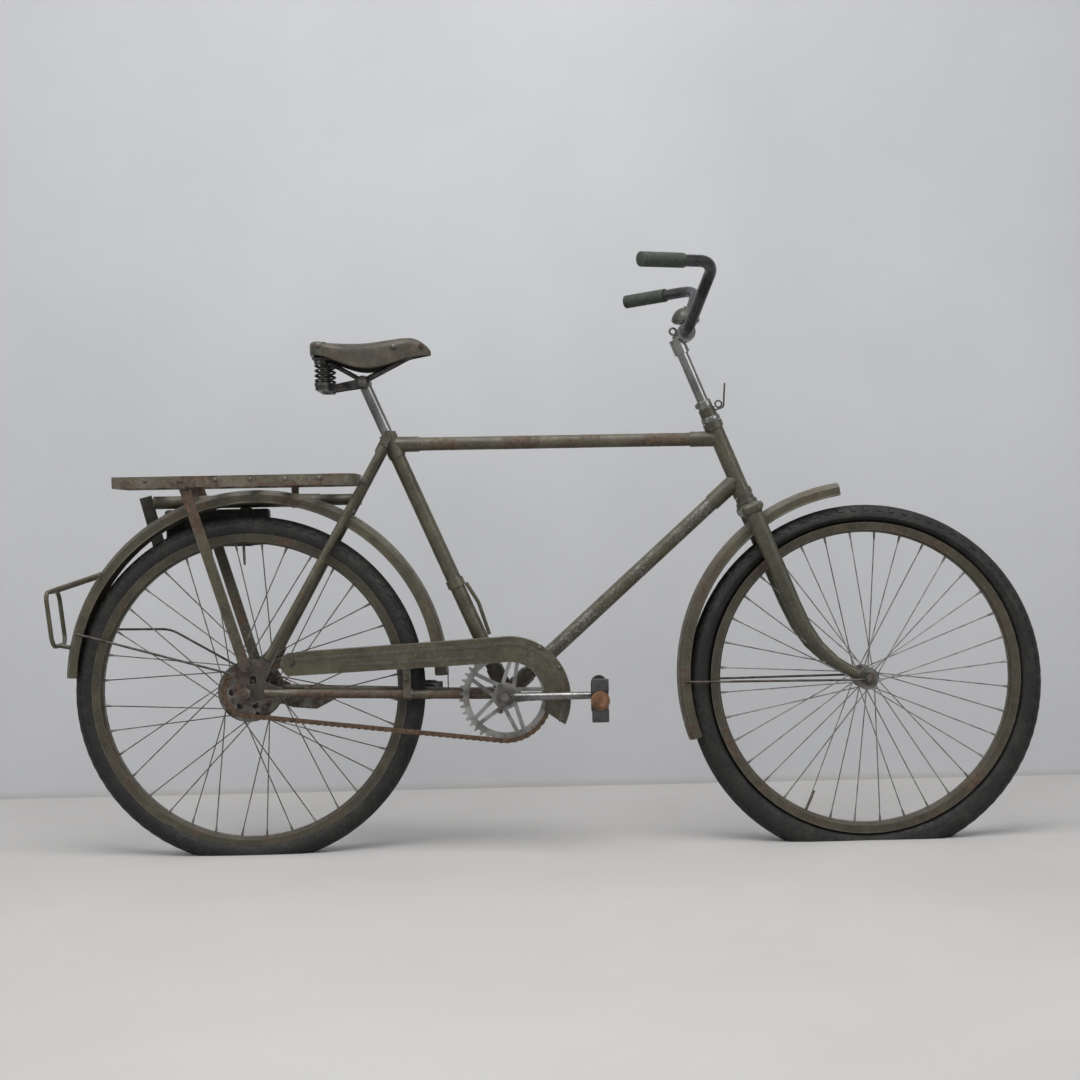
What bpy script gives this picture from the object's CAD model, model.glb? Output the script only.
from math import asin, atan2, cos, hypot, pi, radians, sin

import bpy
from mathutils import Matrix, Vector


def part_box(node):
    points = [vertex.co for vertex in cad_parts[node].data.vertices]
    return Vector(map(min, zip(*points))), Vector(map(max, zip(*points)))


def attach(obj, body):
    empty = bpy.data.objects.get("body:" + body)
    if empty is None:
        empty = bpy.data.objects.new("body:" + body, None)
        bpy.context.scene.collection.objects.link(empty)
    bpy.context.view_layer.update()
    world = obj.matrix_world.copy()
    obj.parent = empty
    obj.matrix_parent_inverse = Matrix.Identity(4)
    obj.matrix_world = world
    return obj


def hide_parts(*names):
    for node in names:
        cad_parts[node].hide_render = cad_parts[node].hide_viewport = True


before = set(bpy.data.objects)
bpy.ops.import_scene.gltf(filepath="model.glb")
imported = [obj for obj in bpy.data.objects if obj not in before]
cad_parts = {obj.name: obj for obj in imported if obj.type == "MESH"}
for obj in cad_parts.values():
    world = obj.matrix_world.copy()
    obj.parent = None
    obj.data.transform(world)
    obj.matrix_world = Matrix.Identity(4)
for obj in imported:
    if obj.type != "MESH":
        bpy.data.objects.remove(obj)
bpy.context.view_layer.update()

# Frame tubes
# Brazed steel tubes in matt olive-drab paint, decades old: faded on top, rubbed to steel at the lugs and
# gone to dull brown rust in patches where rain stood. The paint was brushed on, so it is slightly uneven.


def node(tree, kind, values=None, **settings):
    """Adds a shader node, sets its options, and links or sets its inputs by name or number."""
    made = tree.nodes.new("ShaderNode" + kind)
    for name, value in settings.items():
        setattr(made, name, value)
    for name, value in (values or {}).items():
        if isinstance(value, bpy.types.NodeSocket):
            tree.links.new(value, made.inputs[name])
        else:
            made.inputs[name].default_value = value
    return made


def new_group(name, inputs, outputs):
    """Starts a shader node group and gives it its named sockets."""
    group = bpy.data.node_groups.new(name, "ShaderNodeTree")
    for socket, kind in inputs.items():
        group.interface.new_socket(socket, in_out="INPUT", socket_type="NodeSocket" + kind)
    for socket, kind in outputs.items():
        group.interface.new_socket(socket, in_out="OUTPUT", socket_type="NodeSocket" + kind)
    return group, group.nodes.new("NodeGroupInput").outputs, group.nodes.new("NodeGroupOutput")


def noise(tree, place, scale, detail=4.0, rough=0.6, stretch=None):
    """Noise between 0 and 1 at a place, which may be stretched along the axes."""
    if stretch:
        place = node(tree, "Mapping", {"Vector": place, "Scale": stretch}).outputs[0]
    values = {"Vector": place, "Scale": scale, "Detail": detail, "Roughness": rough}
    return node(tree, "TexNoise", values).outputs["Fac"]


def spread(tree, value, low, high, out_low=0.0, out_high=1.0):
    """Smooth step from one range of values to another."""
    values = {"Value": value, "From Min": low, "From Max": high, "To Min": out_low, "To Max": out_high}
    return node(tree, "MapRange", values, interpolation_type="SMOOTHSTEP").outputs[0]


def calc(tree, operation, first, second):
    """One step of arithmetic, held between 0 and 1."""
    return node(tree, "Math", {0: first, 1: second}, operation=operation, use_clamp=True).outputs[0]


def weigh(tree, *shares):
    """Sum of values, each times its share."""
    total = calc(tree, "MULTIPLY", *shares[0])
    for value, share in shares[1:]:
        total = calc(tree, "ADD", total, calc(tree, "MULTIPLY", value, share))
    return total


def blend(tree, factor, first, second):
    """Colour between two others."""
    return node(tree, "Mix", {0: factor, 6: first, 7: second}, data_type="RGBA").outputs[2]


def colours(tree, value, *stops):
    """Colour ramp from stops of (place, colour)."""
    ramp = node(tree, "ValToRGB", {"Fac": value})
    elements = ramp.color_ramp.elements
    while len(elements) < len(stops):
        elements.new(0.5)
    for element, (place, colour) in zip(elements, stops):
        element.position = place
        element.color = (*colour, 1)
    return ramp.outputs["Color"]


rust_bloom, given, out = new_group(
    "rust_bloom", {"Place": "Vector", "Amount": "Float"}, {"Mask": "Float", "Colour": "Color", "Height": "Float"})
patches = noise(rust_bloom, given["Place"], 11, 3)
spots = noise(rust_bloom, given["Place"], 75, 6, 0.65)
grit = noise(rust_bloom, given["Place"], 520, 3)
mixed = weigh(rust_bloom, (patches, 0.46), (spots, 0.38), (grit, 0.16))
limit = calc(rust_bloom, "SUBTRACT", 0.66, calc(rust_bloom, "MULTIPLY", given["Amount"], 0.32))
mask = spread(rust_bloom, calc(rust_bloom, "SUBTRACT", mixed, limit), 0.0, 0.09)
tone = weigh(rust_bloom, (noise(rust_bloom, given["Place"], 130, 5), 0.65), (grit, 0.35))
rust_colour = colours(rust_bloom, tone, (0.28, (0.020, 0.013, 0.009)), (0.46, (0.050, 0.030, 0.019)),
                      (0.60, (0.095, 0.056, 0.033)), (0.75, (0.165, 0.098, 0.058)))
rust_bloom.links.new(mask, out.inputs["Mask"])
rust_bloom.links.new(rust_colour, out.inputs["Colour"])
rust_bloom.links.new(calc(rust_bloom, "MULTIPLY", tone, mask), out.inputs["Height"])

paint_chips, given, out = new_group(
    "paint_chips", {"Place": "Vector", "Amount": "Float", "Edge": "Float"}, {"Mask": "Float"})
flakes = noise(paint_chips, given["Place"], 210, 5, 0.7)
areas = noise(paint_chips, given["Place"], 16, 2)
lines = noise(paint_chips, given["Place"], 60, 3, 0.6, (9.0, 1.0, 1.6))
level = weigh(paint_chips, (flakes, 0.55), (areas, 0.25), (lines, 0.2), (given["Edge"], 0.20))
limit = calc(paint_chips, "SUBTRACT", 0.70, calc(paint_chips, "MULTIPLY", given["Amount"], 0.24))
bare = spread(paint_chips, calc(paint_chips, "SUBTRACT", level, limit), 0.0, 0.03)
paint_chips.links.new(bare, out.inputs["Mask"])

edge_rub, given, out = new_group("edge_rub", {"Radius": "Float"}, {"Mask": "Float"})
turned = node(edge_rub, "Bevel", {"Radius": given["Radius"]}, samples=4).outputs[0]
straight = node(edge_rub, "NewGeometry").outputs["Normal"]
facing = node(edge_rub, "VectorMath", {0: turned, 1: straight}, operation="DOT_PRODUCT").outputs["Value"]
edge_rub.links.new(spread(edge_rub, facing, 0.995, 0.90), out.inputs["Mask"])

dust_fall, given, out = new_group("dust_fall", {"Place": "Vector", "Amount": "Float"}, {"Mask": "Float"})
upward = node(dust_fall, "SeparateXYZ", {0: node(dust_fall, "NewGeometry").outputs["Normal"]}).outputs["Z"]
lying = spread(dust_fall, upward, 0.15, 0.95)
cloud = spread(dust_fall, noise(dust_fall, given["Place"], 38, 6, 0.7), 0.3, 0.75)
dusted = calc(dust_fall, "MULTIPLY", calc(dust_fall, "MULTIPLY", lying, cloud), given["Amount"])
dust_fall.links.new(dusted, out.inputs["Mask"])


def use(tree, group, values):
    """Places a node group in a material with its own values."""
    return node(tree, "Group", values, node_tree=group).outputs


def new_material(name):
    """Empty material: its tree, its Principled shader and the Object coordinates."""
    material = bpy.data.materials.new(name)
    material.use_nodes = True
    tree = material.node_tree
    return material, tree, tree.nodes["Principled BSDF"], node(tree, "TexCoord").outputs["Object"]


def bump(tree, shader, height, depth, strength=1.0):
    """Gives the shader a relief of some depth in metres."""
    made = node(tree, "Bump", {"Height": height, "Distance": depth, "Strength": strength})
    tree.links.new(made.outputs[0], shader.inputs["Normal"])


def olive_paint(name, rust, chips, dust=0.4, tint=(0.056, 0.051, 0.029), edge=0.0025):
    """Worn olive paint over steel, with its own share of rust, chips and dust."""
    material, tree, shader, place = new_material(name)
    dark = tuple(0.45 * part for part in tint)
    pale = tuple(1.6 * part + 0.010 for part in tint)
    fade = weigh(tree, (noise(tree, place, 24, 6, 0.65), 0.6), (noise(tree, place, 150, 5, 0.7), 0.4))
    colour = colours(tree, fade, (0.33, dark), (0.50, tint), (0.69, pale))
    speck = spread(tree, noise(tree, place, 420, 2), 0.62, 0.72)
    colour = blend(tree, calc(tree, "MULTIPLY", speck, 0.45), colour, (*dark, 1))
    edges = use(tree, edge_rub, {"Radius": edge})["Mask"]
    bare = use(tree, paint_chips, {"Place": place, "Amount": chips, "Edge": edges})["Mask"]
    steel = colours(tree, noise(tree, place, 300, 3), (0.35, (0.085, 0.080, 0.072)), (0.7, (0.26, 0.255, 0.24)))
    colour = blend(tree, bare, colour, steel)
    rusted = use(tree, rust_bloom, {"Place": place, "Amount": rust})
    colour = blend(tree, rusted["Mask"], colour, rusted["Colour"])
    fallen = use(tree, dust_fall, {"Place": place, "Amount": dust})["Mask"]
    colour = blend(tree, fallen, colour, (0.20, 0.185, 0.155, 1))
    tree.links.new(colour, shader.inputs["Base Color"])
    rough = spread(tree, noise(tree, place, 90, 5), 0.3, 0.7, 0.30, 0.56)
    rough = calc(tree, "ADD", rough, calc(tree, "MULTIPLY", rusted["Mask"], 0.3))
    tree.links.new(calc(tree, "ADD", rough, calc(tree, "MULTIPLY", fallen, 0.3)), shader.inputs["Roughness"])
    shiny = calc(tree, "SUBTRACT", bare, rusted["Mask"])
    tree.links.new(calc(tree, "MULTIPLY", shiny, 0.8), shader.inputs["Metallic"])
    brushed = calc(tree, "MULTIPLY", noise(tree, place, 160, 4), 0.25)
    height = calc(tree, "SUBTRACT", brushed, calc(tree, "MULTIPLY", bare, 0.35))
    bump(tree, shader, calc(tree, "ADD", height, rusted["Height"]), 0.0006, 0.7)
    return material


def dress(material, *names):
    """Gives CAD nodes a finish."""
    for name in names:
        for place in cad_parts[name].material_slots:
            place.material = material


frame_paint = olive_paint("frame_paint", rust=0.36, chips=0.44)
dress(frame_paint, "head_tube", "seat_tube", "seat_lug", "bottom_bracket_shell", "seat_stay_right",
      "seat_stay_left", "seat_stay_bridge", "chain_stay_bridge", "seat_clip")
dress(olive_paint("dropout_grease", rust=0.52, chips=0.5, dust=0.2, tint=(0.036, 0.031, 0.022)), "dropouts")
dress(olive_paint("top_tube_paint", rust=0.60, chips=0.30, tint=(0.068, 0.061, 0.038)), "top_tube")
dress(olive_paint("down_tube_paint", rust=0.26, chips=0.74), "down_tube")
dress(olive_paint("chain_stay_paint", rust=0.66, chips=0.35), "chain_stay_right", "chain_stay_left")

# Tyres
# Black rubber casings with lugs on both shoulders and a rib between, dusty and cracked with age. They have no
# air, so each is spread and cut flat at the floor, and the front one hangs loose on its rim.


def begin(name, primitive, **settings):
    """Starts a piece from a primitive and opens it for editing."""
    bpy.ops.object.select_all(action="DESELECT")
    getattr(bpy.ops.mesh, f"primitive_{primitive}_add")(**settings)
    piece = bpy.context.object
    piece.name = piece.data.name = name
    bpy.ops.object.transform_apply()
    bpy.ops.object.mode_set(mode="EDIT")
    return piece


def choose(piece, kind, test):
    """Selects the vertices, edges or faces of the open piece whose middle passes a test."""
    bpy.ops.mesh.select_mode(type=kind)
    bpy.ops.mesh.select_all(action="DESELECT")
    bpy.ops.object.mode_set(mode="OBJECT")
    mesh = piece.data
    if kind == "FACE":
        for face in mesh.polygons:
            face.select = test(face.center)
    elif kind == "EDGE":
        for edge in mesh.edges:
            first, second = (mesh.vertices[end].co for end in edge.vertices)
            edge.select = test((first + second) / 2)
    else:
        for point in mesh.vertices:
            point.select = test(point.co)
    bpy.ops.object.mode_set(mode="EDIT")


def add(piece, kind, **settings):
    """Applies a modifier to a piece."""
    made = piece.modifiers.new(kind.lower(), kind)
    for name, value in settings.items():
        setattr(made, name, value)
    bpy.context.view_layer.objects.active = piece
    bpy.ops.object.modifier_apply(modifier=made.name)


def close(piece, smooth=35):
    """Ends the editing of a piece, with its faces outward and shaded smooth up to an angle in degrees."""
    bpy.ops.mesh.select_all(action="SELECT")
    bpy.ops.mesh.normals_make_consistent(inside=False)
    bpy.ops.object.mode_set(mode="OBJECT")
    bpy.ops.object.shade_smooth_by_angle(angle=radians(smooth))
    return piece


def settle(piece, material, body, slot, *nodes):
    """Gives a piece its finish, its body, its slot and the CAD nodes that it stands for."""
    piece.data.materials.clear()
    piece.data.materials.append(material)
    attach(piece, body)
    if nodes:
        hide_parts(*nodes)
    return piece


def crack_net(tree, place, scale, width):
    """Fine net of the cracks and creases in old rubber or leather."""
    cells = node(tree, "TexVoronoi", {"Vector": place, "Scale": scale}, feature="DISTANCE_TO_EDGE")
    return spread(tree, cells.outputs["Distance"], width, 0.0)


tyre_rubber, tree, shader, place = new_material("tyre_rubber")
fade = noise(tree, place, 20, 6, 0.65)
colour = colours(tree, fade, (0.3, (0.008, 0.008, 0.008)), (0.55, (0.014, 0.014, 0.013)),
                 (0.8, (0.032, 0.030, 0.026)))
dirt = spread(tree, noise(tree, place, 46, 6, 0.7), 0.48, 0.78, 0.0, 0.45)
colour = blend(tree, dirt, colour, (0.060, 0.054, 0.043, 1))
aged = spread(tree, noise(tree, place, 30, 3), 0.45, 0.6)
cracks = calc(tree, "MULTIPLY", crack_net(tree, place, 150, 0.06), aged)
colour = blend(tree, calc(tree, "MULTIPLY", cracks, 0.6), colour, (0.008, 0.008, 0.008, 1))
tree.links.new(colour, shader.inputs["Base Color"])
tree.links.new(spread(tree, noise(tree, place, 140, 5), 0.3, 0.7, 0.50, 0.8), shader.inputs["Roughness"])
shader.inputs["Specular IOR Level"].default_value = 0.35
bump(tree, shader, calc(tree, "SUBTRACT", noise(tree, place, 260, 5), cracks), 0.0006, 0.8)


def axle_of(end):
    """Middle of a wheel."""
    low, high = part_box(f"{end}_rim")
    return (low + high) / 2


FLOOR_Z = -0.966
TYRE_STEPS = 168
CASING_R = 0.0215
RIB_RISE, LUG_RISE = 0.0012, 0.0016
FOOT_SPREAD = 1.14
for end, sag, outer in (("rear", 0.0, 0.330), ("front", 0.010, 0.340)):  # drop of the casing, tread radius
    axle = axle_of(end)
    middle = axle - Vector((0, 0, sag))
    tyre = begin(f"{end}_casing", "circle", vertices=26, radius=CASING_R, rotation=(0, pi / 2, 0))
    bpy.ops.transform.translate(value=middle + Vector((0, 0, outer - CASING_R)))
    bpy.ops.mesh.spin(steps=TYRE_STEPS, angle=2 * pi, center=middle, axis=(0, 1, 0))
    bpy.ops.mesh.select_all(action="SELECT")
    bpy.ops.mesh.remove_doubles(threshold=1e-5)
    bpy.ops.mesh.normals_make_consistent(inside=False)

    def step_of(point):
        """Number of the step round the tyre where a face lies."""
        return round((atan2(point.x - middle.x, point.z - middle.z) / (2 * pi) + 1) * TYRE_STEPS - 0.5)

    def over(point):
        """Height of a point over the tread's radius."""
        return hypot(point.x - middle.x, point.z - middle.z) - outer

    choose(tyre, "FACE", lambda point: abs(point.y) < 0.004 and over(point) > -0.01)
    bpy.ops.mesh.extrude_region_shrink_fatten(TRANSFORM_OT_shrink_fatten={"value": RIB_RISE})
    choose(tyre, "FACE", lambda point: 0.0065 < abs(point.y) < 0.0185 and over(point) > -0.016
           and (step_of(point) + (point.y > 0)) % 2 == 0)
    bpy.ops.mesh.inset(thickness=0.0009)
    bpy.ops.mesh.extrude_region_shrink_fatten(TRANSFORM_OT_shrink_fatten={"value": LUG_RISE})
    choose(tyre, "VERT", lambda point: over(point) < -0.026)
    bpy.ops.transform.translate(value=(0, 0, sag))
    choose(tyre, "VERT", lambda point: point.z < FLOOR_Z + 0.026)
    bpy.ops.transform.resize(value=(1, FOOT_SPREAD, 1), center_override=(axle.x, 0, FLOOR_Z),
                             use_proportional_edit=True, proportional_size=0.06,
                             proportional_edit_falloff="SMOOTH")
    bpy.ops.mesh.select_all(action="SELECT")
    bpy.ops.mesh.bisect(plane_co=(axle.x, 0, FLOOR_Z + 0.0002), plane_no=(0, 0, -1), clear_outer=True,
                        use_fill=True)
    settle(close(tyre, 40), tyre_rubber, f"{end}_wheel", "tyre", f"{end}_tyre")

# Rims, spokes and hubs
# Rolled steel rims painted olive with the frame, plain wire spokes gone dull, each in a nipple at the rim, and
# hubs caked in old grease. A valve stem with its cap stands through each rim.
rim_paint = olive_paint("rim_paint", rust=0.42, chips=0.30, dust=0.2, tint=(0.040, 0.035, 0.019))
dress(rim_paint, "front_rim", "rear_rim")


def worn_steel(name, dark, bright, rust, rough=(0.30, 0.55), metal=0.9, grain=60, pits=0.6):
    """Bare or plated steel gone dull, with rust pits."""
    material, tree, shader, place = new_material(name)
    fade = noise(tree, place, grain, 4, 0.55)
    colour = colours(tree, fade, (0.32, dark), (0.68, bright))
    rusted = use(tree, rust_bloom, {"Place": place, "Amount": rust})
    colour = blend(tree, rusted["Mask"], colour, rusted["Colour"])
    tree.links.new(colour, shader.inputs["Base Color"])
    gloss = spread(tree, noise(tree, place, 180, 5), 0.3, 0.7, *rough)
    gloss = calc(tree, "ADD", gloss, calc(tree, "MULTIPLY", rusted["Mask"], 0.4))
    tree.links.new(gloss, shader.inputs["Roughness"])
    clean = calc(tree, "SUBTRACT", 1.0, rusted["Mask"])
    tree.links.new(calc(tree, "MULTIPLY", clean, metal), shader.inputs["Metallic"])
    bump(tree, shader, calc(tree, "ADD", calc(tree, "MULTIPLY", fade, 0.3), rusted["Height"]), 0.0005, pits)
    return material


spoke_steel = worn_steel("spoke_steel", (0.10, 0.098, 0.092), (0.30, 0.295, 0.28), 0.35)
dress(spoke_steel, "front_hub")
dress(worn_steel("rear_hub_steel", (0.045, 0.038, 0.032), (0.21, 0.195, 0.175), 0.48), "rear_hub")
axle_steel = worn_steel("axle_steel", (0.05, 0.045, 0.038), (0.20, 0.185, 0.165), 0.50)
dress(axle_steel, "front_axle", "rear_axle", "brake_arm")


def peg(name, start, stop, radius, sides=12):
    """Starts a straight bar between two points."""
    along = stop - start
    turn = along.to_track_quat("Z", "Y").to_euler()
    return begin(name, "cylinder", vertices=sides, radius=radius, depth=along.length, location=(start + stop) / 2,
                 rotation=turn)


def repeat(name, model, places):
    """Copies of a model made along +Z, each at (point, direction, size), joined into one piece."""
    made = []
    for point, direction, size in places:
        one = model.copy()
        one.data = model.data.copy()
        turn = Vector(direction).to_track_quat("Z", "Y").to_matrix().to_4x4()
        one.data.transform(Matrix.Translation(point) @ turn @ Matrix.Scale(size, 4))
        bpy.context.collection.objects.link(one)
        made.append(one)
    bpy.ops.object.select_all(action="DESELECT")
    for one in made:
        one.select_set(True)
    bpy.context.view_layer.objects.active = made[0]
    if len(made) > 1:
        bpy.ops.object.join()
    made[0].name = made[0].data.name = name
    return made[0]


nipple = begin("nipple", "cone", vertices=8, radius1=0.0026, radius2=0.0017, depth=0.013, location=(0, 0, 0.0065))
close(nipple)
SPOKES = 36
RIM_INNER_R = 0.279
for end, flange_r, flange_y in (("rear", 0.054, 0.030), ("front", 0.018, 0.034)):
    axle = axle_of(end)
    places = []
    for spoke in range(SPOKES):
        side = 1 - 2 * (spoke % 2)
        lean = 1 - 2 * (spoke // 2 % 2)
        tip = (spoke + 0.5) * 2 * pi / SPOKES
        foot = tip - lean * radians(40)
        start = axle + Vector((RIM_INNER_R * cos(tip), side * 0.0025, RIM_INNER_R * sin(tip)))
        hole = axle + Vector((flange_r * cos(foot), side * flange_y, flange_r * sin(foot)))
        places.append((start, hole - start, 1.0))
    settle(repeat(f"{end}_nipples", nipple, places), spoke_steel, f"{end}_wheel", "bare_steel")
bpy.data.objects.remove(nipple)

for end, angle in (("rear", 92), ("front", 245)):  # place of the valve round the rim, in degrees from the front
    inward = -Vector((cos(radians(angle)), 0, sin(radians(angle))))
    foot = axle_of(end) - inward * RIM_INNER_R
    valve = peg(f"{end}_valve", foot - inward * 0.004, foot + inward * 0.030, 0.0027)
    choose(valve, "FACE", lambda point: (point - foot).dot(inward) > 0.0299)
    bpy.ops.mesh.inset(thickness=0.0006)
    bpy.ops.mesh.extrude_region_move(TRANSFORM_OT_translate={"value": inward * 0.010})
    settle(close(valve), axle_steel, f"{end}_wheel", "bare_steel")

# Axle nuts, bolts and rivets
# Plain hexagon bolts with washers hold the stays, carrier, clamps and mudguards, and round rivets hold the
# carrier's slats and the guard's clip. All have rusted, and most were painted over with the frame.
REAR_AXLE_X = -0.205


def at(x, y, z):
    """Point in metres, from mm ahead of the rear axle, to the left and above the floor."""
    return Vector((x / 1000 + REAR_AXLE_X, y / 1000, z / 1000 + FLOOR_Z))


bolt = begin("bolt", "cylinder", vertices=20, radius=1.0, depth=0.2, location=(0, 0, 0.1))
choose(bolt, "FACE", lambda point: point.z > 0.19)
bpy.ops.mesh.delete(type="FACE")
choose(bolt, "EDGE", lambda point: point.z > 0.19)
bpy.ops.mesh.extrude_edges_move(TRANSFORM_OT_translate={"value": (0, 0, 0)})
bpy.ops.transform.resize(value=(0.5, 0.5, 1), center_override=(0, 0, 0.2))
close(bolt, 30)
head = begin("bolt_head", "cylinder", vertices=6, radius=0.86, depth=0.62, location=(0, 0, 0.51))
choose(head, "EDGE", lambda point: point.z > 0.8)
bpy.ops.mesh.bevel(offset=0.1, segments=2)
choose(head, "FACE", lambda point: point.z > 0.815)
bpy.ops.mesh.inset(thickness=0.30)
bpy.ops.mesh.extrude_region_move(TRANSFORM_OT_translate={"value": (0, 0, 0.22)})
close(head, 30)
bolt.select_set(True)
bpy.context.view_layer.objects.active = bolt
bpy.ops.object.join()

near, far = (0, -1, 0), (0, 1, 0)
one_side = (  # x, distance from the middle plane, z, size, all in mm
    (0, 67.3, 357, 8.0),
    (-22, 62.2, 345, 7.0),
    (263, 25.0, 772, 7.5),
    (226, 40.2, 706, 6.5),
    (224.8, 24.2, 892, 9.5),
    (-106, 79.1, 698.5, 6.5),
    (-272, 40.0, 538, 4.5),
)
places = [(at(x, -y, z), near, size / 1000) for x, y, z, size in one_side]
places += [(at(x, y, z), far, size / 1000) for x, y, z, size in one_side]
places += [(at(299, -58.3, 331), near, 0.005), (at(86, -58.3, 366), near, 0.0055),
           (at(148, 70.1, 293), far, 0.006)]
settle(repeat("frame_bolts", bolt, places), axle_steel, "frame", "bare_steel")
HEAD_ANGLE = radians(67.7)
STEER_UP = Vector((-cos(HEAD_ANGLE), 0, sin(HEAD_ANGLE)))
STEER_AHEAD = Vector((sin(HEAD_ANGLE), 0, cos(HEAD_ANGLE)))
places = [
    (at(823.3, 0, 966) + STEER_UP * 0.001, STEER_UP, 0.007),
    (at(852, 0, 991), (0.9, 0, 0.45), 0.006),
    (at(876, 0, 837) - Vector((0.0125, 0, 0)), (-1, 0, 0), 0.0062),
    (at(957.8, 0, 638) + STEER_AHEAD * 0.0203, STEER_AHEAD, 0.008),
]
places += [(at(1174, side * 75.2, 311), (0, side, 0), 0.0105) for side in (-1, 1)]
settle(repeat("fork_bolts", bolt, places), axle_steel, "fork", "bare_steel")
places = [(at(485, side * 80.1, 293.5), (0, side, 0), 0.010) for side in (-1, 1)]
places += [(at(485 + side * 9.5, side * 71.75, 269), (0, 0, -1), 0.0062) for side in (-1, 1)]
settle(repeat("crank_bolts", bolt, places), axle_steel, "crank", "bare_steel")
bpy.data.objects.remove(bolt)

nut = begin("nut", "cylinder", vertices=6, radius=0.0118, depth=0.009)
bpy.ops.mesh.bevel(offset=0.0008, segments=2)
close(nut, 30)
places = [(at(0, side * 74.7, 311), (0, side, 0), 1.0) for side in (-1, 1)]
settle(repeat("rear_axle_nuts", nut, places), axle_steel, "frame", "bare_steel")
places = [(at(1174, side * 70.6, 311), (0, side, 0), 1.0) for side in (-1, 1)]
settle(repeat("front_axle_nuts", nut, places), axle_steel, "fork", "bare_steel")
bpy.data.objects.remove(nut)

rivet = begin("rivet", "uv_sphere", segments=14, ring_count=8, radius=1.0)
bpy.ops.transform.resize(value=(1, 1, 0.55), center_override=(0, 0, 0))
bpy.ops.mesh.bisect(plane_co=(0, 0, -0.1), plane_no=(0, 0, -1), clear_outer=True, use_fill=True)
close(rivet, 60)
DECK_BACK, DECK_LENGTH, SLATS = -242, 453.96, 6  # in mm, and how many
slats = [DECK_BACK + DECK_LENGTH * (number + 1) / (SLATS + 1) for number in range(SLATS)]
places = [(at(x, side * 79.0, 710.5), (0, side, 0), 0.0042) for x in slats for side in (-1, 1)]
places += [(at(550, -58.3, 384), near, 0.004), (at(587, -58.3, 345), near, 0.004)]
settle(repeat("rivets", rivet, places), axle_steel, "frame", "rusty_steel")

# Mudguards
# Rolled sheet channels with a wire bead turned into each edge, on wire stays, brushed with the frame's olive.
# The tail of the rear one carries a lifting handle of bent rod.
fender_paint = olive_paint("fender_paint", rust=0.46, chips=0.36, dust=0.5)
dress(fender_paint, "rear_fender", "front_fender", "rear_handle")
stay_steel = worn_steel("stay_steel", (0.030, 0.027, 0.024), (0.12, 0.11, 0.10), 0.46)
dress(stay_steel, "rear_fender_stays", "front_fender_stays", "lamp_wire")
MUDGUARDS = (  # name, body, centre in mm, radius of the bead, first and last angle from the front
    ("rear", "frame", (14, 330), 0.3385, 1, 177.6),
    ("front", "fork", (1178, 323), 0.3425, 98.4, 199.6),
)
BEAD_Y = 0.0266  # from the middle plane to each edge
for name, body, (x, z), bead_r, first, last in MUDGUARDS:
    centre = at(x, 0, z)
    bead = begin(f"{name}_mudguard_beads", "circle", vertices=8, radius=0.0017)
    bpy.ops.transform.translate(value=centre + Vector((bead_r, -BEAD_Y, 0)))
    bpy.ops.transform.rotate(value=radians(first), orient_axis="Y", center_override=centre)
    bpy.ops.mesh.edge_face_add()
    bpy.ops.mesh.spin(steps=72, angle=radians(last - first), center=centre, axis=(0, 1, 0))
    bpy.ops.mesh.select_all(action="SELECT")
    bpy.ops.mesh.duplicate_move(TRANSFORM_OT_translate={"value": (0, 2 * BEAD_Y, 0)})
    settle(close(bead, 50), fender_paint, body, "olive_paint")

# Carrier
# Flat bars on edge round a deck of riveted slats, on flat legs down to the axle. Rain has taken most of its
# paint, and what is left is brown with rust.
carrier_paint = olive_paint("carrier_paint", rust=0.62, chips=0.62, dust=0.7, tint=(0.098, 0.087, 0.060))
dress(carrier_paint, "rack_rail_right", "rack_rail_left", "rack_slats")
dress(olive_paint("leg_paint", rust=0.56, chips=0.5, dust=0.4), "rack_legs")

# Saddle
# Thick leather stretched from a steel plate at the back to the nose, greyed, cracked and polished by use. It is
# held by round rivets and stands on a rusty frame with two coil springs.
saddle_leather, tree, shader, place = new_material("saddle_leather")
fade = noise(tree, place, 34, 6, 0.65)
colour = colours(tree, fade, (0.3, (0.020, 0.017, 0.010)), (0.52, (0.052, 0.043, 0.025)),
                 (0.76, (0.108, 0.090, 0.060)))
creases = crack_net(tree, place, 190, 0.10)
colour = blend(tree, calc(tree, "MULTIPLY", creases, 0.55), colour, (0.020, 0.017, 0.012, 1))
scuffs = spread(tree, noise(tree, place, 120, 5, 0.7, (0.5, 1, 1)), 0.60, 0.72, 0.0, 0.4)
colour = blend(tree, scuffs, colour, (0.16, 0.138, 0.105, 1))
tree.links.new(colour, shader.inputs["Base Color"])
tree.links.new(spread(tree, noise(tree, place, 140, 5), 0.3, 0.7, 0.34, 0.58), shader.inputs["Roughness"])
bump(tree, shader, calc(tree, "SUBTRACT", noise(tree, place, 300, 4), creases), 0.0005, 0.8)

SADDLE_SECTIONS = (  # place along and top, both from the seat, half width and side depth, in mm
    (-78, 4.0, 60, 27),
    (-62, 3.6, 71, 28),
    (-47, 1.5, 78, 29),
    (-9, -0.3, 74, 44),
    (27, 0.9, 52, 54),
    (65, 7.0, 31, 51),
    (103, 12.5, 22, 42),
    (121, 9.5, 20, 36),
    (136, 0.0, 16, 24),
    (149, -14.0, 9, 9),
)
saddle = begin("saddle_leather", "plane", size=2.0, rotation=(0, pi / 2, 0))
bpy.ops.mesh.delete(type="ONLY_FACE")
choose(saddle, "EDGE", lambda point: point.z < -0.5)
bpy.ops.mesh.delete(type="EDGE")
bpy.ops.mesh.select_all(action="SELECT")
bpy.ops.transform.resize(value=(1, 1, 0.35), center_override=(0, 0, 0))
bpy.ops.transform.translate(value=(0, 0, 0.35))
choose(saddle, "EDGE", lambda point: point.z > 0.6)
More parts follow.
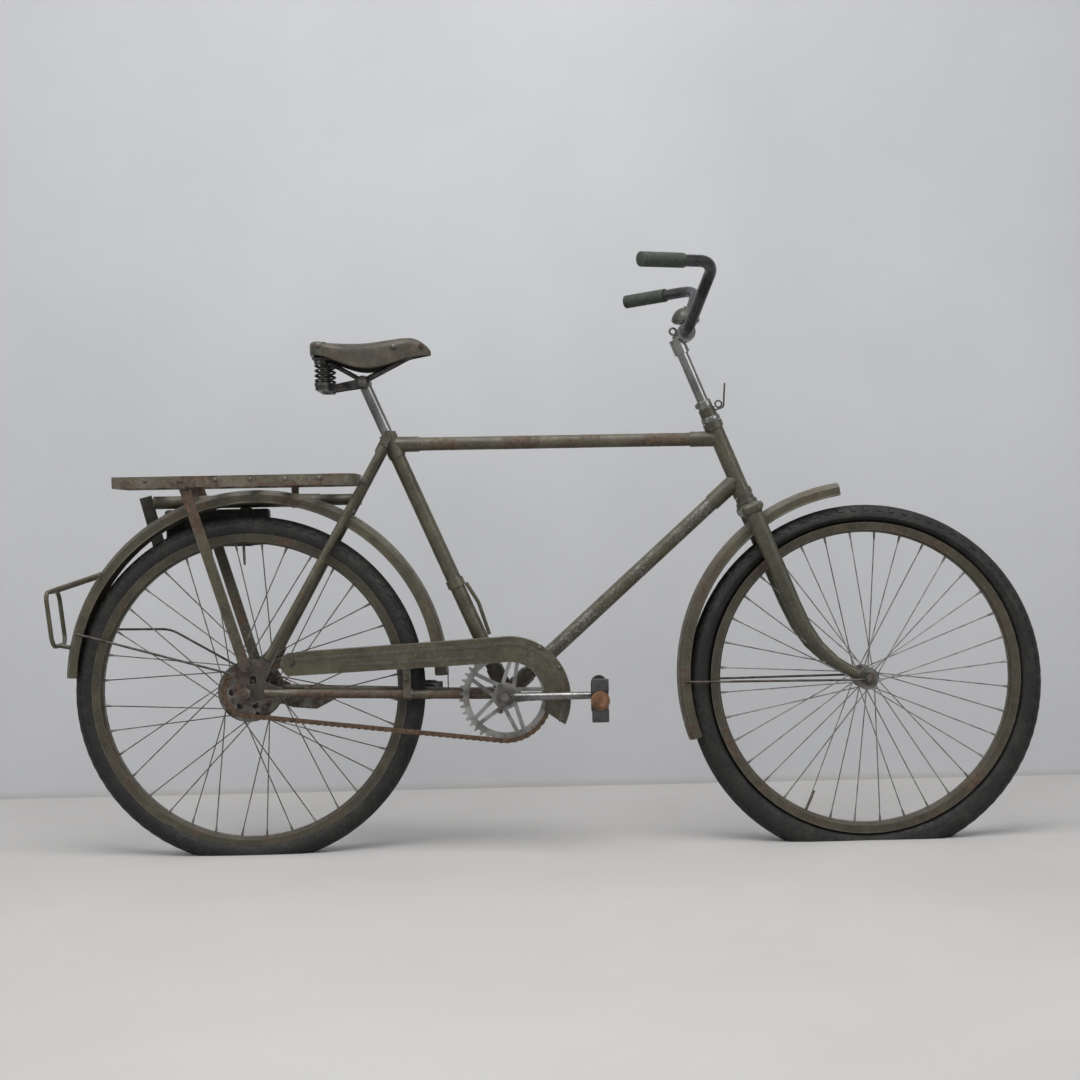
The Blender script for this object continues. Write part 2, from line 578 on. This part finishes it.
bpy.ops.mesh.subdivide(number_cuts=7)
choose(saddle, "EDGE", lambda point: abs(point.y) > 0.99)
bpy.ops.mesh.subdivide(number_cuts=2)
choose(saddle, "VERT", lambda point: abs(point.y) < 0.01 and point.z > 0.6)
bpy.ops.transform.translate(value=(0, 0, 0.3), use_proportional_edit=True, proportional_size=1.02,
                            proportional_edit_falloff="SPHERE")
bpy.ops.mesh.select_all(action="SELECT")
before = (0, 0, 1000.0, 1000.0)
for number, section in enumerate(SADDLE_SECTIONS):
    along, rise, half, depth = section
    base = (along / 1000, 0, (rise - depth) / 1000)
    if number == 0:
        bpy.ops.transform.translate(value=base)
    else:
        step = Vector(base) - Vector((before[0] / 1000, 0, (before[1] - before[3]) / 1000))
        bpy.ops.mesh.extrude_edges_move(TRANSFORM_OT_translate={"value": step})
    bpy.ops.transform.resize(value=(1, half / before[2], depth / before[3]), center_override=base)
    before = section
for x_end in (SADDLE_SECTIONS[0][0] / 1000, SADDLE_SECTIONS[-1][0] / 1000):
    choose(saddle, "EDGE", lambda point: abs(point.x - x_end) < 1e-5)
    bpy.ops.mesh.edge_face_add()
close(saddle, 60)
add(saddle, "SUBSURF", levels=2)
add(saddle, "SOLIDIFY", thickness=0.0035, offset=-1.0)
settle(saddle, saddle_leather, "frame", "leather", "saddle_top")

saddle_plate = saddle.copy()
saddle_plate.data = saddle.data.copy()
bpy.context.collection.objects.link(saddle_plate)
bpy.ops.object.select_all(action="DESELECT")
saddle_plate.select_set(True)
bpy.context.view_layer.objects.active = saddle_plate
saddle_plate.name = saddle_plate.data.name = "saddle_plate"
bpy.ops.object.mode_set(mode="EDIT")
choose(saddle_plate, "FACE", lambda point: point.x > -0.049)
bpy.ops.mesh.delete(type="FACE")
bpy.ops.mesh.select_all(action="SELECT")
bpy.ops.transform.shrink_fatten(value=0.0012)
plate_paint = olive_paint("plate_paint", rust=0.25, chips=0.4, dust=0.2, tint=(0.034, 0.036, 0.019))
settle(close(saddle_plate, 50), plate_paint, "frame", "olive_paint")

spring_steel = worn_steel("spring_steel", (0.020, 0.019, 0.018), (0.105, 0.10, 0.093), 0.34)
dress(spring_steel, "saddle_frame", "saddle_springs")
places = [(at(x, side * y, z), (0, side, 0), 0.0052)
          for x, y, z in ((148, 76.0, 958), (284, 30.0, 958), (336, 18.4, 960)) for side in (-1, 1)]
settle(repeat("saddle_rivets", rivet, places), axle_steel, "frame", "rusty_steel")

# Fork and handlebar
# Olive fork with oval blades, a plated stem gone dull, and a plain steel bar whose plating has turned dark. Rings
# of the headset hold the steerer in the head tube, a bolt with an eye clamps the stem, and a wire is hooked on it.
fork_paint = olive_paint("fork_paint", rust=0.30, chips=0.36, tint=(0.048, 0.046, 0.027))
dress(fork_paint, "fork_crown", "fork_blade_right", "fork_blade_left")
stem_plate = worn_steel("stem_plate", (0.145, 0.145, 0.14), (0.29, 0.29, 0.28), 0.14, (0.16, 0.30), grain=16,
                        pits=0.12)
dress(stem_plate, "stem", "seat_post")
bar_steel = worn_steel("bar_steel", (0.040, 0.041, 0.042), (0.095, 0.097, 0.098), 0.16, (0.20, 0.38), grain=16,
                       pits=0.15)
dress(bar_steel, "handlebar")
bell_paint = olive_paint("bell_paint", rust=0.35, chips=0.5, dust=0.15, tint=(0.030, 0.028, 0.017))
dress(bell_paint, "bell")
quill_top = at(823.3, 0, 966)
quill_bolt = peg("quill_bolt", at(823.3, 0, 964), quill_top + STEER_UP * 0.0105, 0.0036)
settle(close(quill_bolt, 30), axle_steel, "fork", "bare_steel")
quill_eye = begin("quill_eye", "torus", major_segments=24, minor_segments=8, major_radius=0.0062,
                  minor_radius=0.0021, location=quill_top + STEER_UP * 0.0165, rotation=(pi / 2, 0, 0))
settle(close(quill_eye, 60), axle_steel, "fork", "bare_steel")
AXLE_Z, STEER_X, STEER_RUN = 311, 1091.9, 0.4101  # height of the axles, the axis there, and its lean, in mm


def steer(z):
    """Point of the steering axis at a height in mm."""
    return at(STEER_X - (z - AXLE_Z) * STEER_RUN, 0, z)


for name, low_z, high_z, radius in (("headset_lock", 832.4, 847, 0.0145), ("headset_race", 807.4, 815.8, 0.0187)):
    ring = peg(name, steer(low_z), steer(high_z), radius, 32)
    bpy.ops.mesh.bevel(offset=0.0012, segments=2)
    settle(close(ring, 30), stem_plate, "fork", "bare_steel")
wire_loop = begin("wire_loop", "torus", major_segments=28, minor_segments=8, major_radius=0.0062,
                  minor_radius=0.0016, location=at(902.0, 0, 841), rotation=(pi / 2, 0, 0))
settle(close(wire_loop, 60), stay_steel, "fork", "rusty_steel")

# Grips
# Moulded rubber grips of a green-grey colour, pushed on the bar's ends and closed at the back. Rings moulded
# round them give the fingers hold.


def old_rubber(name, dark, pale, grain, gloss):
    """Moulded rubber, faded in patches, with a fine grain."""
    material, tree, shader, place = new_material(name)
    colour = colours(tree, noise(tree, place, grain, 5), (0.3, dark), (0.7, pale))
    tree.links.new(colour, shader.inputs["Base Color"])
    tree.links.new(spread(tree, noise(tree, place, 140, 5), 0.3, 0.7, gloss, 0.7), shader.inputs["Roughness"])
    bump(tree, shader, noise(tree, place, 300, 4), 0.0004)
    return material


grip_rubber = old_rubber("grip_rubber", (0.016, 0.020, 0.015), (0.046, 0.056, 0.042), 50, 0.45)
grip = begin("grip_model", "circle", vertices=24, radius=0.0118, fill_type="NGON")
bpy.ops.mesh.extrude_region_move(TRANSFORM_OT_translate={"value": (0, 0, 0.001)})
bpy.ops.transform.resize(value=(1.15, 1.15, 1), center_override=(0, 0, 0.001))
for ridge in range(16):
    for rise, size in ((0.0036, 1.0), (0.0007, 0.95), (0.0011, 1.0), (0.0007, 1 / 0.95)):
        bpy.ops.mesh.extrude_region_move(TRANSFORM_OT_translate={"value": (0, 0, rise)})
        bpy.ops.transform.resize(value=(size, size, 1), center_override=(0, 0, 0))
close(grip, 40)
for side, name in ((-1, "right"), (1, "left")):
    back = at(746.9, side * 297, 1077)
    along = Vector((135, -side * 102, 9)).normalized()
    piece = repeat(f"{name}_grip", grip, [(back - along * 0.0065, along, 1.0)])
    settle(piece, grip_rubber, "fork", "rubber", f"grip_{name}")
bpy.data.objects.remove(grip)

# Drive
# Plated cranks and chainring gone grey, a dry rusty chain, and an open pressed guard in worn olive. The chain is
# one loop of link plates with a pin through each, and rollers show between them on the straight runs.
crank_steel = worn_steel("crank_steel", (0.085, 0.084, 0.080), (0.25, 0.247, 0.238), 0.22, (0.18, 0.36), grain=20,
                         pits=0.15)
dress(crank_steel, "crank_right", "crank_left", "crank_axle")
dress(worn_steel("ring_steel", (0.12, 0.116, 0.108), (0.37, 0.365, 0.35), 0.34, grain=30), "chainring")
chain_rust = worn_steel("chain_rust", (0.042, 0.026, 0.016), (0.16, 0.094, 0.053), 0.45, (0.45, 0.75), 0.4, 140)
dress(chain_rust, "chain")
guard_paint = olive_paint("guard_paint", rust=0.34, chips=0.50, dust=0.6)
dress(guard_paint, "chain_guard")

PITCH = 0.0127
RING_TEETH, COG_TEETH = 42, 22
ROLLER_MARGIN = 0.09  # share of a straight run, at each end, where the teeth take the rollers' place
ring_r, cog_r = PITCH / (2 * sin(pi / RING_TEETH)), PITCH / (2 * sin(pi / COG_TEETH))
ring_axle, cog_axle = at(485, -47, 293.5), at(0, -47, 311)
span = ring_axle - cog_axle
tilt, lead = atan2(span.z, span.x), asin((ring_r - cog_r) / span.length)
run = span.length * cos(lead)
pieces = (ring_r * (pi + 2 * lead), run, cog_r * (pi - 2 * lead), run)
links = 2 * round(sum(pieces) / PITCH / 2)


def chain_point(distance):
    """Point of the chain's loop at a distance along it, and whether it is on a straight run."""
    high, low = tilt + pi / 2 + lead, tilt - pi / 2 - lead
    for number, length in enumerate(pieces):
        if distance < length:
            break
        distance -= length
    part = distance / length
    if number == 0 or number == 2:
        centre, radius = (ring_axle, ring_r) if number == 0 else (cog_axle, cog_r)
        angle = (low if number == 0 else high) + distance / radius
        return centre + Vector((radius * cos(angle), 0, radius * sin(angle))), False
    angle = high if number == 1 else low
    across = Vector((cos(angle), 0, sin(angle)))
    at_ring, at_cog = ring_axle + across * ring_r, cog_axle + across * cog_r
    start, stop = (at_ring, at_cog) if number == 1 else (at_cog, at_ring)
    return start.lerp(stop, part), ROLLER_MARGIN < part < 1 - ROLLER_MARGIN


spots = [chain_point(sum(pieces) * link / links) for link in range(links)]
pin = begin("pin", "cylinder", vertices=8, radius=0.0019, depth=0.0008, location=(0, 0, 0.0004))
close(pin)
places = [(point + Vector((0, side * 0.0036, 0)), (0, side, 0), 1.0)
          for point, straight in spots for side in (-1, 1)]
settle(repeat("chain_pins", pin, places), stay_steel, "frame", "rusty_steel")
bpy.data.objects.remove(pin)
roller = begin("roller", "cylinder", vertices=12, radius=0.0039, depth=0.0044)
close(roller)
places = [(point, (0, 1, 0), 1.0) for point, straight in spots if straight]
settle(repeat("chain_rollers", roller, places), stay_steel, "frame", "rusty_steel")
bpy.data.objects.remove(roller)

# Pedals
# Two rubber blocks with cross grooves on each steel cage, worn smooth at the edges, with flat rubber ends. A
# pressed cap closes each bearing at the outer end, and has gone orange with rust.
pedal_steel = worn_steel("pedal_steel", (0.030, 0.029, 0.028), (0.13, 0.125, 0.12), 0.36)
dress(pedal_steel, "pedal_right_cage", "pedal_left_cage")
cap_rust = worn_steel("cap_rust", (0.10, 0.050, 0.026), (0.24, 0.12, 0.062), 0.55, (0.5, 0.75), 0.3)
pedal_rubber = old_rubber("pedal_rubber", (0.014, 0.014, 0.014), (0.055, 0.054, 0.052), 60, 0.4)
BLOCK_LENGTH = 0.0898
BLOCK_STEPS = 18  # ribs and grooves along a block
block = begin("block", "cube", size=1.0)
bpy.ops.transform.resize(value=(0.026, 0.018, BLOCK_LENGTH))
choose(block, "EDGE", lambda point: abs(point.z) < 0.01)
bpy.ops.mesh.bevel(offset=0.003, segments=3)
choose(block, "EDGE", lambda point: abs(point.z) < 0.01)
bpy.ops.mesh.subdivide(number_cuts=BLOCK_STEPS - 1)
choose(block, "FACE", lambda point: abs(point.z) < 0.043
       and round((point.z / BLOCK_LENGTH + 0.5) * BLOCK_STEPS - 0.5) % 2 == 1)
bpy.ops.mesh.extrude_region_shrink_fatten(TRANSFORM_OT_shrink_fatten={"value": -0.0012})
close(block, 40)
pad = begin("pad", "cube", size=1.0)
bpy.ops.transform.resize(value=(0.031, 0.024, 0.005))
bpy.ops.mesh.bevel(offset=0.0018, segments=3)
close(pad, 40)
for name, side, x, turned_up in (("right", -1, 660, True), ("left", 1, 310, False)):
    middle = at(x, side * 133, 293.5)
    apart = Vector((0, 0, 0.024)) if turned_up else Vector((0.024, 0, 0))
    places = [(middle + way * apart, (0, side, 0), 1.0) for way in (-1, 1)]
    pair = repeat(f"{name}_pedal_rubbers", block, places)
    settle(pair, pedal_rubber, f"pedal_{name}", "rubber", f"pedal_{name}_blocks")
    tip = middle + Vector((0, side * 0.0495, 0))
    places = [(tip + way * apart * 1.15, (0, side, 0), 1.0) for way in (-1, 1)]
    settle(repeat(f"{name}_pedal_ends", pad, places), pedal_rubber, f"pedal_{name}", "rubber")
    outer = middle + Vector((0, side * 0.0463, 0))
    cap = peg(f"{name}_pedal_cap", outer, outer + Vector((0, side * 0.0078, 0)), 0.0174, 32)
    choose(cap, "FACE", lambda point: abs(point.y) > abs(outer.y) + 0.0077)
    bpy.ops.mesh.inset(thickness=0.0050)
    bpy.ops.mesh.extrude_region_move(TRANSFORM_OT_translate={"value": (0, side * 0.0034, 0)})
    bpy.ops.mesh.inset(thickness=0.0012)
    bpy.ops.mesh.extrude_region_move(TRANSFORM_OT_translate={"value": (0, side * 0.0006, 0)})
    settle(close(cap, 30), cap_rust, f"pedal_{name}", "rusty_steel")
bpy.data.objects.remove(block)
bpy.data.objects.remove(pad)

# Tool bag, strap and pump
# A stiff leather tool bag, nearly black, hangs under the carrier on two leather loops. Beside it a webbing strap
# hangs over the tyre pump, a thin steel tube painted with the frame.
bag_leather, tree, shader, place = new_material("bag_leather")
fade = noise(tree, place, 40, 6, 0.65)
colour = colours(tree, fade, (0.3, (0.006, 0.0055, 0.004)), (0.55, (0.012, 0.011, 0.008)),
                 (0.8, (0.036, 0.032, 0.025)))
creases = crack_net(tree, place, 210, 0.10)
colour = blend(tree, calc(tree, "MULTIPLY", creases, 0.5), colour, (0.006, 0.005, 0.004, 1))
tree.links.new(colour, shader.inputs["Base Color"])
tree.links.new(spread(tree, noise(tree, place, 140, 5), 0.3, 0.7, 0.45, 0.72), shader.inputs["Roughness"])
bump(tree, shader, calc(tree, "SUBTRACT", noise(tree, place, 300, 4), creases), 0.0006, 0.8)

bag_low, bag_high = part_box("tool_bag")
bag_middle, bag_size = (bag_low + bag_high) / 2, bag_high - bag_low
bag = begin("tool_bag_body", "cube", size=1.0, location=bag_middle)
bpy.ops.transform.resize(value=bag_size - Vector((0.004, 0.004, 0.002)), center_override=bag_middle)
bpy.ops.mesh.bevel(offset=0.007, segments=3)
bpy.ops.mesh.subdivide(number_cuts=3)
choose(bag, "VERT", lambda point: point.z < bag_low.z + 0.004 and abs(point.x - bag_middle.x) < 0.05)
bpy.ops.transform.translate(value=(0, 0, -0.003), use_proportional_edit=True, proportional_size=0.06,
                            proportional_edit_falloff="SMOOTH")
settle(close(bag, 50), bag_leather, "frame", "dark_leather", "tool_bag")
flap = begin("tool_bag_flap", "cube", size=1.0, location=bag_middle)
bpy.ops.transform.resize(value=bag_size, center_override=bag_middle)
bpy.ops.mesh.bisect(plane_co=bag_low + Vector((0, 0, 0.030)), plane_no=(0, 0, -1), clear_outer=True)
bpy.ops.mesh.select_all(action="SELECT")
bpy.ops.mesh.bevel(offset=0.006, segments=2)
close(flap, 40)
add(flap, "SOLIDIFY", thickness=0.002, offset=-1.0)
settle(flap, bag_leather, "frame", "dark_leather")
bag_loop = begin("bag_loop", "cube", size=1.0)
bpy.ops.transform.resize(value=(0.018, bag_size.y + 0.003, bag_size.z + 0.004), center_override=(0, 0, 0))
choose(bag_loop, "FACE", lambda point: abs(point.x) > 0.008)
bpy.ops.mesh.delete(type="FACE")
bpy.ops.mesh.select_all(action="SELECT")
bpy.ops.mesh.subdivide(number_cuts=4)
close(bag_loop, 50)
add(bag_loop, "SOLIDIFY", thickness=0.0018, offset=-1.0)
places = [(bag_middle + Vector((shift, 0, 0)), (0, 0, 1), 1.0) for shift in (-0.055, 0.055)]
settle(repeat("tool_bag_loops", bag_loop, places), bag_leather, "frame", "dark_leather")
bpy.data.objects.remove(bag_loop)

webbing, tree, shader, place = new_material("webbing")
weave = node(tree, "TexWave", {"Vector": place, "Scale": 260, "Distortion": 1.0}, bands_direction="Z")
weave = weave.outputs["Fac"]
colour = colours(tree, noise(tree, place, 45, 5), (0.3, (0.014, 0.013, 0.010)), (0.7, (0.050, 0.045, 0.034)))
colour = blend(tree, calc(tree, "MULTIPLY", weave, 0.4), colour, (0.010, 0.009, 0.007, 1))
tree.links.new(colour, shader.inputs["Base Color"])
shader.inputs["Roughness"].default_value = 0.85
bump(tree, shader, weave, 0.0006, 0.8)
strap_top, strap_foot = at(-184, 71.3, 684), at(-209.5, 71.3, 585)
fall, strap_middle = strap_foot - strap_top, (strap_top + strap_foot) / 2
strap = begin("hanging_strap", "plane", size=1.0, rotation=(pi / 2, 0, 0))
bpy.ops.transform.resize(value=(0.024, 1, fall.length))
bpy.ops.transform.rotate(value=-atan2(fall.x, -fall.z), orient_axis="Y", center_override=(0, 0, 0))
bpy.ops.transform.translate(value=strap_middle)
bpy.ops.mesh.subdivide(number_cuts=9)
choose(strap, "VERT", lambda point: abs(point.z - strap_middle.z) < 0.008)
bpy.ops.transform.translate(value=(0, 0.0012, 0), use_proportional_edit=True, proportional_size=0.05,
                            proportional_edit_falloff="SMOOTH")
close(strap, 60)
add(strap, "SOLIDIFY", thickness=0.002, offset=0.0)
settle(strap, webbing, "frame", "webbing", "bag_strap")
dress(fender_paint, "pump")
bpy.data.objects.remove(rivet)

# Stage
# Pale studio floor and wall under soft light, with the camera where the photograph was taken from. The wall is
# clear from behind, and the floor runs on past it, so that the other side can be seen too.
WALL_Y = 0.80
STAGE_X = 0.4
studio = begin("studio", "plane", size=1)
bpy.ops.transform.resize(value=(16, 8, 1))
bpy.ops.transform.translate(value=(STAGE_X, WALL_Y - 4, FLOOR_Z))
choose(studio, "EDGE", lambda point: point.y > WALL_Y - 0.01)
bpy.ops.mesh.extrude_region_move(TRANSFORM_OT_translate={"value": (0, 0, 5)})
choose(studio, "EDGE", lambda point: point.y > WALL_Y - 0.01 and point.z < FLOOR_Z + 0.01
       and abs(point.x - STAGE_X) < 0.1)
bpy.ops.mesh.extrude_region_move(TRANSFORM_OT_translate={"value": (0, 7, 0)})
bpy.ops.object.mode_set(mode="OBJECT")
studio_paint, tree, shader, place = new_material("studio_paint")
height = node(tree, "SeparateXYZ", {0: place}).outputs["Z"]
wall = spread(tree, height, FLOOR_Z + 0.002, FLOOR_Z + 0.02)
cloudy = noise(tree, place, 1.6, 5, 0.55)
ground = colours(tree, cloudy, (0.3, (0.43, 0.42, 0.41)), (0.7, (0.475, 0.465, 0.455)))
upright = colours(tree, cloudy, (0.3, (0.485, 0.49, 0.505)), (0.7, (0.535, 0.54, 0.555)))
shade = spread(tree, height, -0.2, 1.2, 0.0, 0.22)
upright = blend(tree, shade, upright, (0.2, 0.2, 0.205, 1))
tree.links.new(blend(tree, wall, ground, upright), shader.inputs["Base Color"])
shader.inputs["Roughness"].default_value = 0.75
raised = spread(tree, height, FLOOR_Z + 0.0002, FLOOR_Z + 0.001)
behind = calc(tree, "MULTIPLY", node(tree, "NewGeometry").outputs["Backfacing"], raised)
clear = node(tree, "BsdfTransparent").outputs[0]
one_sided = node(tree, "MixShader", {0: behind, 1: shader.outputs[0], 2: clear}).outputs[0]
tree.links.new(one_sided, tree.nodes["Material Output"].inputs["Surface"])
studio.data.materials.append(studio_paint)

LAMPS = (  # name, place, aimed at, size, watts
    ("overhead", (0.2, -1.3, 2.3), (0.4, 0.0, -0.6), 2.6, 98),
    ("left_front", (-2.9, -2.6, 1.3), (0.2, 0.0, -0.5), 1.8, 34),
    ("right_front", (3.3, -2.4, 1.2), (0.5, 0.0, -0.5), 1.8, 28),
)
for name, spot, aim, size, power in LAMPS:
    lamp = bpy.data.lights.new(name, "AREA")
    lamp.size = size
    lamp.energy = power
    holder = bpy.data.objects.new(name, lamp)
    bpy.context.collection.objects.link(holder)
    holder.location = spot
    holder.rotation_euler = (Vector(aim) - Vector(spot)).to_track_quat("-Z", "Y").to_euler()
world = bpy.data.worlds.new("soft_room")
bpy.context.scene.world = world
world.use_nodes = True
tree = world.node_tree
height = node(tree, "SeparateXYZ", {0: node(tree, "TexCoord").outputs["Generated"]}).outputs["Z"]
room = colours(tree, height, (0.0, (0.16, 0.165, 0.175)), (0.65, (0.60, 0.61, 0.62)))
rays = node(tree, "LightPath").outputs
seen = calc(tree, "ADD", rays["Is Camera Ray"], rays["Is Glossy Ray"])
seen = calc(tree, "ADD", seen, rays["Is Transmission Ray"])
room = blend(tree, seen, room, (0.66, 0.66, 0.68, 1))
tree.links.new(room, tree.nodes["Background"].inputs["Color"])
tree.nodes["Background"].inputs["Strength"].default_value = 0.8

lens = bpy.data.cameras.new("photo_camera")
lens.lens = 60.417
lens.sensor_width = 36
lens.shift_x = -0.0556
lens.shift_y = -0.0056
camera = bpy.data.objects.new("photo_camera", lens)
bpy.context.collection.objects.link(camera)
camera.location = (0.3682, -3.4721, -0.3601)
camera.rotation_euler = (radians(90 - 0.168), radians(1.098), radians(-1.602))
bpy.context.scene.camera = camera
bpy.context.scene.view_settings.view_transform = "Standard"
